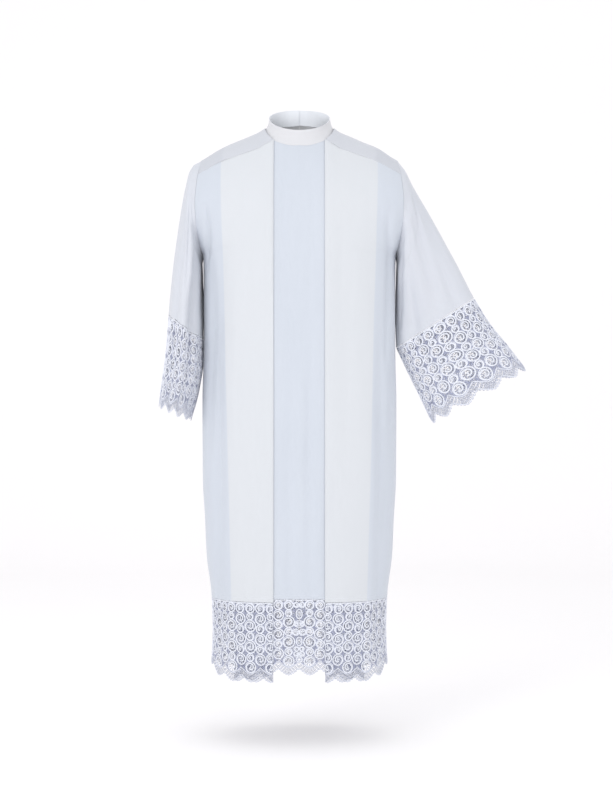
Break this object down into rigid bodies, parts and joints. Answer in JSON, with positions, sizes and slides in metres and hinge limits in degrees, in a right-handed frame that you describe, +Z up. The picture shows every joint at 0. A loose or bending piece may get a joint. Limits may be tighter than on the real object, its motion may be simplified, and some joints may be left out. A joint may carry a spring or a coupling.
{
  "type": "alb robe",
  "caption": "Long white alb with a stand collar, pleated front and back, wide sleeves and lace at hem and cuffs, in its worn form.",
  "frame": {"origin": "midway between the shoulders at the root of the neck, where the wearer's shoulders carry the robe", "axes": "+Z up, the front faces -Y, +X to the wearer's left"},
  "size_m": [0.8865, 0.2811, 1.3689],
  "materials": {
    "cloth": "matte white polyester-cotton, fine plain weave, slightly sheer",
    "yoke_cloth": "matte white cloth, doubled at the shoulder",
    "collar_cloth": "matte white cloth, interfaced and topstitched",
    "lace": "white corded guipure lace with a soft sheen",
    "button": "glossy white shirt button"
  },
  "bodies": {
    "root": {"front": "cloth", "back": "cloth", "yoke_left": "yoke_cloth", "yoke_right": "yoke_cloth", "collar": "collar_cloth", "collar_button": "button", "sleeve_left": "cloth", "sleeve_right": "cloth", "cuff_lace_left": "lace", "cuff_lace_right": "lace", "hem_lace_front": "lace", "hem_lace_back": "lace"}
  },
  "joints": []
}
